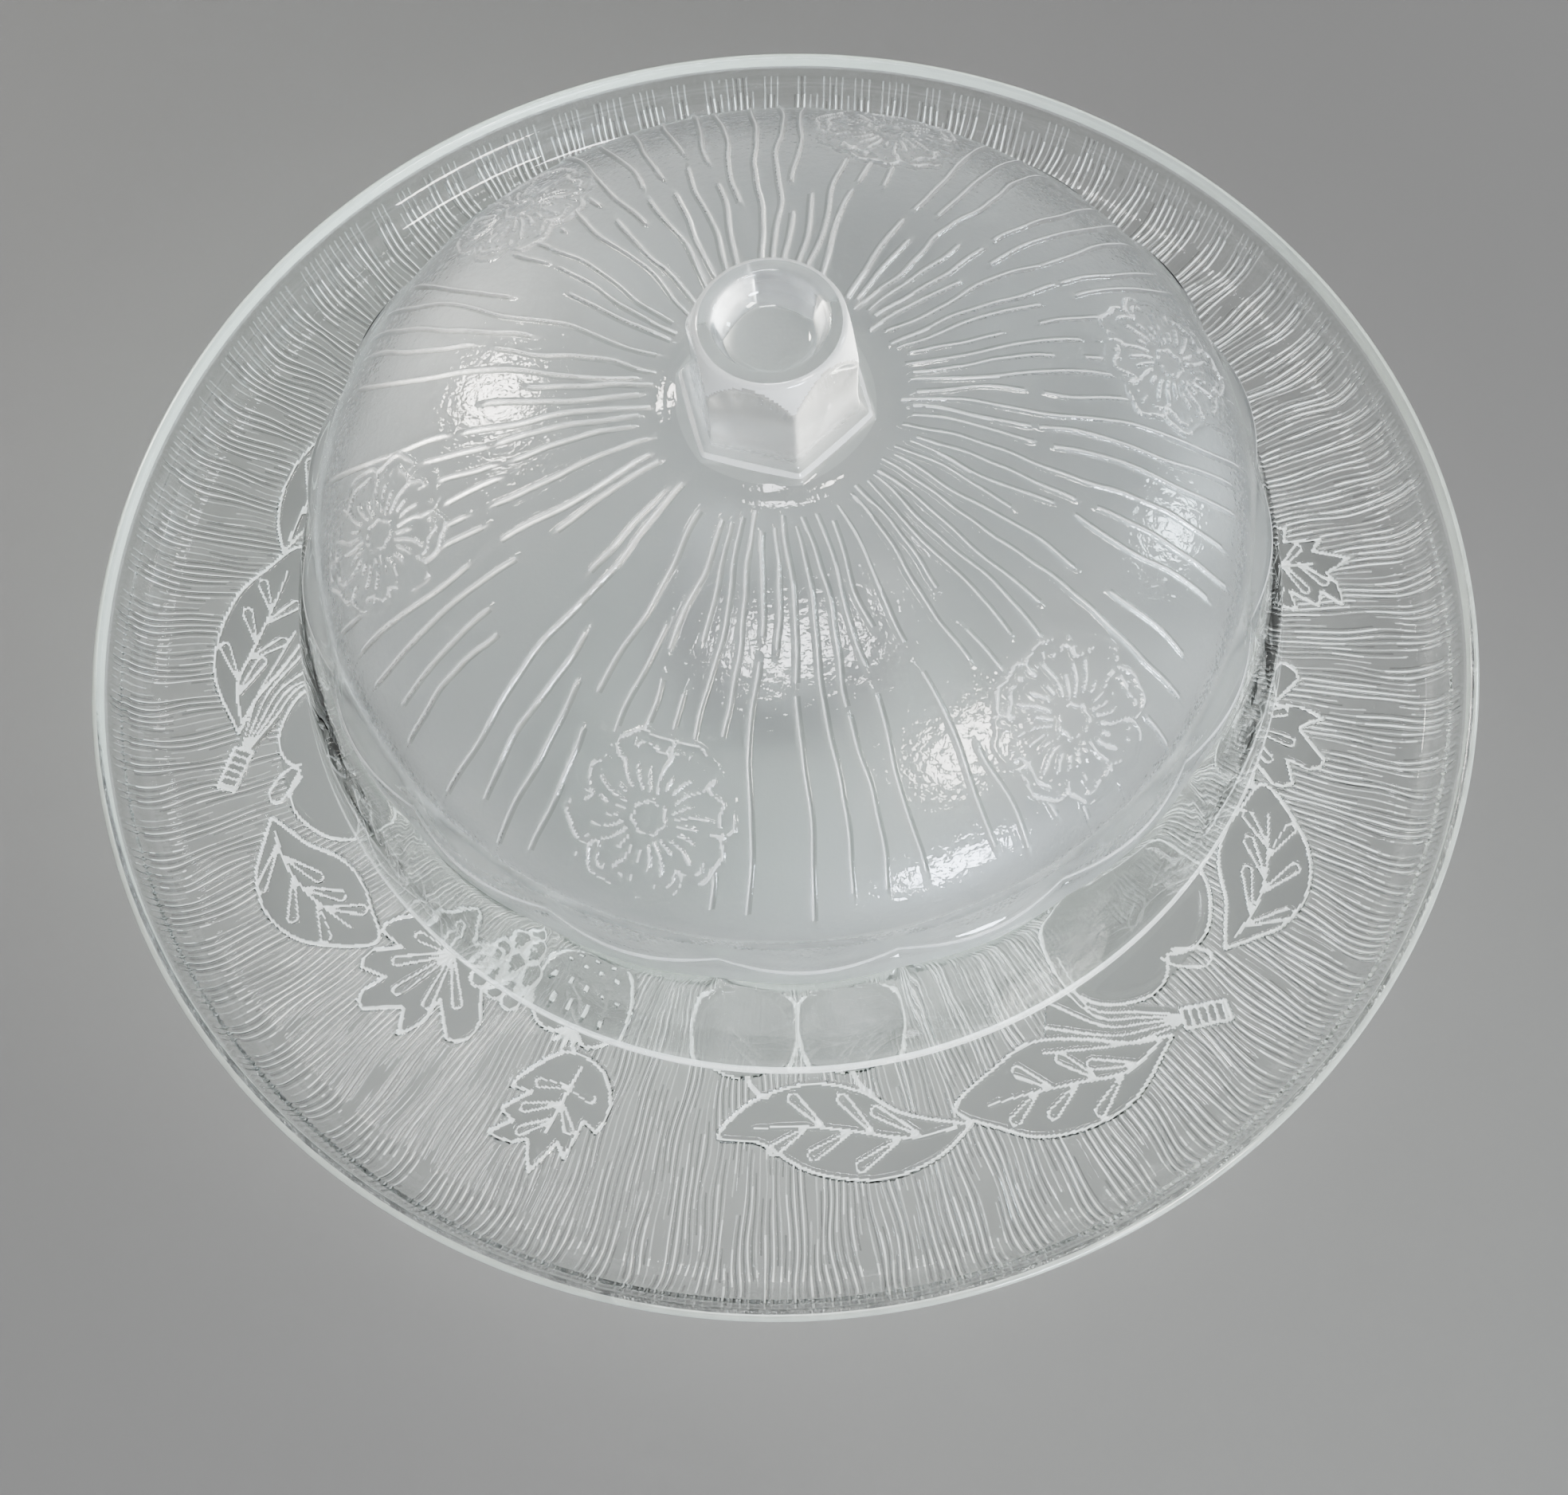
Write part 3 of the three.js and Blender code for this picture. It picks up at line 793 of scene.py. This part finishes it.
def plate(materials):
    """The whole plate: a plain floor and lip above, and grooves and the wreath in the underside."""
    skin = Skin()
    lip_foot = PLATE_RADIUS - 5
    skin.pole(FLOOR)
    skin.turned([(radius, FLOOR) for radius in (2, 20, 60, 110, 140, lip_foot - 9)], 360)
    skin.turned(arc((lip_foot - 7, FLOOR + 7), 7, -90, -8, 14), 360)
    lip = [(lip_foot + 0.25, FLOOR + 6.9), (lip_foot + 1.2, PLATE_TOP - 7), (lip_foot + 2.1, PLATE_TOP - 3)]
    skin.turned(smooth(lip, 4), 360)
    rounding = 1.3
    edge = arc((PLATE_RADIUS - rounding, PLATE_TOP - rounding), rounding, 180, 0, 14)
    # The lip's outer rounding and the band below it get the glass's own green tint with a milky painted
    # sheen, and its inner rounding a faint painted sheen.
    is_outer = edge[1:, :1] > PLATE_RADIUS - rounding
    skin.turned(edge, 360, look=np.where(is_outer, PLATE_LIP_TINT_AND_SHEEN, PLATE_FAINT_SHEEN))
    below_edge = [(PLATE_RADIUS - 0.12, PLATE_TOP - 3), (PLATE_RADIUS - 0.3, PLATE_TOP - 4)]
    skin.turned(below_edge, 360, look=PLATE_LIP_TINT_AND_SHEEN)

    wall = smooth([(PLATE_RADIUS - 0.5, PLATE_TOP - 5), (PLATE_RADIUS - 1.2, PLATE_TOP - 8.5)], 8)
    outer = np.vstack([wall, arc((PLATE_RADIUS - 13, FLOOR + 6), 11, -15, -88, 60)])
    flat = np.array([(PLATE_RADIUS - 13.6, UNDERSIDE), (GROOVES_INNER, UNDERSIDE)])
    flat = respaced(np.vstack([outer[-1:], flat]), lambda radius: np.full(len(radius), 0.05))
    # the mesh is finest where the wreath is
    wreath_inner, wreath_outer = 92, 143.5
    profile = respaced(
        np.vstack([outer, flat[1:]]),
        lambda r: np.where(r > wreath_outer, 1.1, np.where(r < wreath_inner, 1.3, 0.42)),
    )
    normal = outward(profile)
    angles, grooves = bark(GROOVES * 4, profile[:, 0], 5)
    radii = np.broadcast_to(profile[:, :1], angles.shape)
    covered, raised, highlit_lines = np.zeros(angles.shape), np.zeros(angles.shape), np.zeros(angles.shape, bool)
    for motif in wreath():
        motif.press(angles, radii, covered, raised, highlit_lines)
    heights = profile[:, 1:]
    edges = fade(radii, GROOVES_INNER, GROOVES_INNER + 6) * fade(-heights, 5.5 - PLATE_TOP, 7 - PLATE_TOP)
    edges = edges * (1 - 0.55 * fade(heights, FLOOR + 1, FLOOR + 5))  # shallower up the lip
    grooved = edges * (1 - covered)
    relief = grooved * (GROOVE_DEPTH * grooves - GROOVE_DEPTH) + raised
    level = (grooved * grooves)[:-1]  # 1 on the tallest ridges between grooves, -1 in the deepest grooves
    # The ridges between grooves get a milky painted sheen, brightest on the tallest ones and near the bend,
    # and the deepest grooves a painted shade.
    bright_sheen_from = 0.55 - 0.42 * bead(radii[:-1] - BEND_RADIUS, 2.2)
    looks = np.where(level < -0.4, PLATE_PAINTED_SHADE, PLATE_CLEAR)
    looks = np.where(level > 0.16, PLATE_FAINT_SHEEN, looks)
    looks = np.where(level > bright_sheen_from, PLATE_BRIGHT_SHEEN, looks)
    # The motifs' clear insides get a painted shade.
    looks = np.where(faces_where(covered > 0.5), PLATE_PAINTED_SHADE_PATCH, looks)
    # The motifs' lines get a painted highlight.
    looks = np.where(faces_where(highlit_lines), PLATE_HIGHLIGHT, looks)
    skin.band(angles, radii + relief * normal[:, :1], heights + relief * normal[:, 1:], looks)
    skin.turned([(radius, UNDERSIDE) for radius in (GROOVES_INNER - 3, 60, 34, 10)], 240)
    skin.pole(UNDERSIDE)
    skin.piece("plate_glass", "stand", ["cake_plate"], materials)


# ---------------------------------------------------------------- the foot


def pedestal(materials):
    """Bell-shaped hollow foot, with wavy grooves on its flare that carry on the plate's."""
    top = UNDERSIDE + 0.04  # it is fused to the plate
    stem = 19.5  # radius
    skin = Skin()
    skin.pole(top)
    skin.turned([(10, top), (30.4, top)], 240)
    outside = smooth(
        [
            (30.9, top - 0.5),
            (30.8, top - 3),
            (stem + 3.5, top - 12),
            (stem, top - 25),
            (stem + 4, top - 44),
            (FOOT_RADIUS * 0.53, 19),
            (FOOT_RADIUS * 0.76, 8.5),
            (FOOT_RADIUS - 2, 4.8),
            (FOOT_RADIUS - 0.3, 3.4),
            (FOOT_RADIUS, 2.2),
            (FOOT_RADIUS - 0.4, 0.6),
            (FOOT_RADIUS - 1.2, 0),
        ],
        7,
    )
    grooves, columns = 150, 6
    angles = full_turn(grooves * columns)
    random = np.random.default_rng(2)
    level = random.uniform(0.4, 1, grooves)[np.arange(grooves * columns) // columns]
    r, z = outside[:, :1], outside[:, 1:]
    normal = outward(outside)
    sway = 0.5 * np.sin(11 * angles + TURN * r / 30) + 0.3 * np.sin(23 * angles - TURN * r / 17)
    strength = span(r, 26, FOOT_RADIUS - 3, 10, 5) * fade(-z, -30, -24)
    relief = -strength * level * 0.3 * (1 + np.sin(grooves * angles))
    skin.band(angles + strength * sway / r, r + relief * normal[:, :1], z + relief * normal[:, 1:])
    ring = FOOT_RADIUS - 8  # inner radius of the flat ring that the stand rests on
    hollow = [
        (ring + 0.6, 0),
        (ring - 0.4, 0.4),
        (ring - 2, 1.8),
        (FOOT_RADIUS * 0.62, 7),
        (FOOT_RADIUS * 0.42, 19),
        (stem - 2, 36),
        (stem - 5.5, 52),
        (stem - 8.5, 64),
        (5, 67.6),
    ]
    skin.turned(smooth(hollow, 6), 240)
    skin.pole(68)  # the top of the hollow
    skin.piece("pedestal_glass", "stand", ["pedestal"], materials)


# ---------------------------------------------------------------- materials


def new_material(name):
    """A material without nodes yet, and its node tree."""
    material = bpy.data.materials.new(name)
    material.use_nodes = True
    tree = material.node_tree
    tree.nodes.clear()
    return material, tree


def add(tree, kind, inputs=None, **settings):
    """A node with its settings, and its inputs as values or as other nodes' outputs."""
    node = tree.nodes.new(kind)
    for name, value in settings.items():
        setattr(node, name, value)
    for key, value in (inputs or {}).items():
        if isinstance(value, bpy.types.NodeSocket):
            tree.links.new(value, node.inputs[key])
        else:
            node.inputs[key].default_value = value
    return node


def glass(name, colour, roughness, bump_size, bump_height, waviness, clearness=1.0):
    """Glass whose shadow lets lamps through. Below 1, clearness leaves a milky haze on it.

    The bumps' size and height and the height of the wider waves are in millimetres.
    """
    material, tree = new_material(name)
    place = add(tree, "ShaderNodeTexCoord").outputs["Object"]
    fine = {"Vector": place, "Scale": 1 / (bump_size * MM), "Detail": 2.0, "Roughness": 0.55}
    grain = add(tree, "ShaderNodeTexNoise", fine).outputs["Fac"]
    coarse = {"Vector": place, "Scale": 1 / (14 * MM), "Detail": 1.0}
    swell = add(tree, "ShaderNodeTexNoise", coarse).outputs["Fac"]
    ripples = add(tree, "ShaderNodeBump", {"Height": swell, "Distance": waviness * MM, "Strength": 1.0})
    bump = add(
        tree,
        "ShaderNodeBump",
        {"Height": grain, "Distance": bump_height * MM, "Strength": 1.0, "Normal": ripples.outputs["Normal"]},
    )
    uneven = {"Value": grain, "To Min": roughness * 0.7, "To Max": roughness * 1.3}
    shade = add(tree, "ShaderNodeMapRange", uneven)
    body = add(
        tree,
        "ShaderNodeBsdfPrincipled",
        {
            "Base Color": (*colour, 1),
            "Roughness": shade.outputs["Result"],
            "IOR": 1.5,
            "Transmission Weight": clearness,
            "Normal": bump.outputs["Normal"],
        },
    )
    clear = add(tree, "ShaderNodeBsdfTransparent", {"Color": (0.93, 0.95, 0.94, 1)})
    path = add(tree, "ShaderNodeLightPath")
    mixed = add(
        tree,
        "ShaderNodeMixShader",
        {0: path.outputs["Is Shadow Ray"], 1: body.outputs["BSDF"], 2: clear.outputs["BSDF"]},
    )
    add(tree, "ShaderNodeOutputMaterial", {"Surface": mixed.outputs["Shader"]})
    return material


# ---------------------------------------------------------------- stage, lights and camera


def stage():
    """A round floor, which gets paler with distance as painted light that makes up for the lamps' falloff,
    and a sky that is brighter on one side.
    """
    material, tree = new_material("pale_floor")
    place = add(tree, "ShaderNodeTexCoord").outputs["Object"]
    cloud = add(tree, "ShaderNodeTexNoise", {"Vector": place, "Scale": 3.0, "Detail": 3.0})
    ramp = add(tree, "ShaderNodeValToRGB", {"Fac": cloud.outputs["Fac"]})
    ramp.color_ramp.elements[0].color = (0.186, 0.184, 0.18, 1)
    ramp.color_ramp.elements[1].color = (0.204, 0.202, 0.198, 1)
    # Painted light: the floor's colour gets up to four times paler with distance, to make up for the lamps'
    # light falling off.
    far = add(tree, "ShaderNodeVectorMath", {0: place}, operation="LENGTH")
    paler = add(
        tree,
        "ShaderNodeMapRange",
        {"Value": far.outputs["Value"], "From Min": 0.8, "From Max": 3.0, "To Min": 1.0, "To Max": 4.0},
    )
    scaled = {0: ramp.outputs["Color"], "Scale": paler.outputs["Result"]}
    tone = add(tree, "ShaderNodeVectorMath", scaled, operation="SCALE")
    body = add(tree, "ShaderNodeBsdfPrincipled", {"Base Color": tone.outputs["Vector"], "Roughness": 0.65})
    add(tree, "ShaderNodeOutputMaterial", {"Surface": body.outputs["BSDF"]})
    radius = 4.0
    edge = [(radius * math.cos(angle), radius * math.sin(angle), 0) for angle in full_turn(96)]
    mesh = bpy.data.meshes.new("floor")
    mesh.from_pydata(edge, [], [range(len(edge))])
    mesh.materials.append(material)
    floor = bpy.data.objects.new("floor", mesh)
    bpy.context.scene.collection.objects.link(floor)

    world = bpy.data.worlds.new("studio")
    bpy.context.scene.world = world
    world.use_nodes = True
    tree = world.node_tree
    tree.nodes.clear()
    place = add(tree, "ShaderNodeTexCoord").outputs["Generated"]
    height = add(tree, "ShaderNodeSeparateXYZ", {"Vector": place})
    ramp = add(tree, "ShaderNodeValToRGB", {"Fac": height.outputs["Z"]})
    elements = ramp.color_ramp.elements
    elements[0].color = (1.0, 1.0, 0.98, 1)
    elements[1].color = (0.2, 0.203, 0.21, 1)
    for position, level in ((0.16, 0.75), (0.42, 0.3)):
        elements.new(position).color = (level, level, level, 1)
    bright_side = (*unit(150), 0)
    side = add(tree, "ShaderNodeVectorMath", {0: place, 1: bright_side}, operation="DOT_PRODUCT")
    level = {"Value": side.outputs["Value"], "From Min": -1.0, "To Min": 0.4, "To Max": 0.85}
    strength = add(tree, "ShaderNodeMapRange", level).outputs["Result"]
    sky = add(tree, "ShaderNodeBackground", {"Color": ramp.outputs["Color"], "Strength": strength})
    add(tree, "ShaderNodeOutputWorld", {"Surface": sky.outputs["Background"]})


def softbox(name, bearing, elevation, distance, size, power, colour):
    """A rectangular lamp that faces the object. The bearing runs anticlockwise from +X, in degrees."""
    bearing, elevation = math.radians(bearing), math.radians(elevation)
    target = Vector((0, 0, 0.12))
    level = math.cos(elevation)
    aim = Vector((level * math.cos(bearing), level * math.sin(bearing), math.sin(elevation)))
    data = bpy.data.lights.new(name, "AREA")
    data.shape = "RECTANGLE"
    data.size, data.size_y = size
    data.energy = power
    data.color = colour
    lamp = bpy.data.objects.new(name, data)
    lamp.location = target + distance * aim
    lamp.rotation_euler = (-aim).to_track_quat("-Z", "Y").to_euler()
    lamp.visible_camera = False
    bpy.context.scene.collection.objects.link(lamp)


def lights():
    """Windows that the domed top and the lip mirror, as in the reference view."""
    softbox("window_back_left", 133, 34, 3.4, (0.5, 0.76), 38, (1.0, 0.96, 0.9))
    softbox("window_front_low", 296, 18, 3.0, (0.95, 0.44), 60, (0.8, 0.88, 1.0))
    softbox("window_front_high", 315, 50, 3.0, (0.76, 0.56), 40, (1.0, 0.97, 0.93))
    softbox("window_high", 276, 85, 3.2, (0.95, 0.42), 30, (0.97, 0.97, 1.0))
    softbox("window_right", 12, 22, 3.2, (0.36, 0.7), 20, (0.8, 0.93, 1.0))


def camera():
    """Looks down at the plate from the front, at the angle and distance of the reference view."""
    distance = 0.443889
    elevation = math.radians(65.497)
    aim_right, aim_down = 0.0032277, 0.0607612  # tangents of the small angles between the axis and the aim
    roll = math.radians(-4.8054)
    target = Vector((0, 0, 0.08))
    back = Vector((0, -math.cos(elevation), math.sin(elevation)))
    forward = -back
    right = forward.cross(Vector((0, 0, 1))).normalized()
    up = right.cross(forward)
    forward = (forward - aim_right * right - aim_down * up).normalized()
    right = forward.cross(up).normalized()
    up = right.cross(forward)
    rolled_right = math.cos(roll) * right + math.sin(roll) * up
    rolled_up = math.cos(roll) * up - math.sin(roll) * right
    data = bpy.data.cameras.new("camera")
    data.sensor_width = 36
    data.lens = 40.24
    data.clip_start = 0.01
    made = bpy.data.objects.new("camera", data)
    turn = Matrix((rolled_right, rolled_up, -forward)).transposed().to_4x4()
    made.matrix_world = Matrix.Translation(target + distance * back) @ turn
    bpy.context.scene.collection.objects.link(made)
    bpy.context.scene.camera = made
    bpy.context.scene.view_settings.look = "AgX - High Contrast"


camera()
stage()
lights()
# name, colour, roughness, size and height of the bumps, waviness and, if below 1, clearness
clear_glass = glass("clear_glass", (0.965, 0.984, 0.975), 0.015, 2.5, 0.01, 0.12)
# The stippled and hazy glasses are tinted grey, painted shade that darkens the domed top.
stippled_glass = glass("stippled_glass", (0.78, 0.785, 0.79), 0.035, 1.8, 0.15, 0.1)
hazy_glass = glass("hazy_glass", (0.74, 0.745, 0.755), 0.4, 0.9, 0.03, 0.1, 0.965)
# Darkened, to paint shade beside the ribs and in the deepest grooves.
painted_shade_glass = glass("painted_shade_glass", (0.5, 0.51, 0.5), 0.12, 0.9, 0.03, 0.1)
# Darkened, to paint shade inside the motifs.
painted_shade_patch_glass = glass("painted_shade_patch_glass", (0.68, 0.7, 0.69), 0.02, 2.5, 0.01, 0.12)
# Milky, to paint a highlight on crests, lines and edges.
painted_highlight_glass = glass("painted_highlight_glass", (0.95, 0.965, 0.96), 0.12, 0.9, 0.03, 0.1, 0.6)
# Slightly milky, to paint a faint sheen on the grooves' ridges.
painted_faint_sheen_glass = glass("painted_faint_sheen_glass", (0.93, 0.95, 0.94), 0.15, 0.9, 0.03, 0.1, 0.88)
# Milky, to paint a bright sheen on the tallest ridges between grooves.
painted_bright_sheen_glass = glass("painted_bright_sheen_glass", (0.94, 0.955, 0.95), 0.15, 0.9, 0.03, 0.1, 0.62)
# The glass's own green tint, made milky to paint the lip's bright sheen.
lip_tint_and_sheen_glass = glass("lip_tint_and_sheen_glass", (0.82, 0.88, 0.81), 0.12, 2.5, 0.01, 0.1, 0.55)
# in the order of DOME_CLEAR and PLATE_CLEAR to the last of each
dome([clear_glass, stippled_glass, hazy_glass, painted_highlight_glass, painted_shade_glass])
plate([clear_glass, painted_faint_sheen_glass, painted_highlight_glass, lip_tint_and_sheen_glass, painted_bright_sheen_glass, painted_shade_glass, painted_shade_patch_glass])
pedestal([clear_glass])
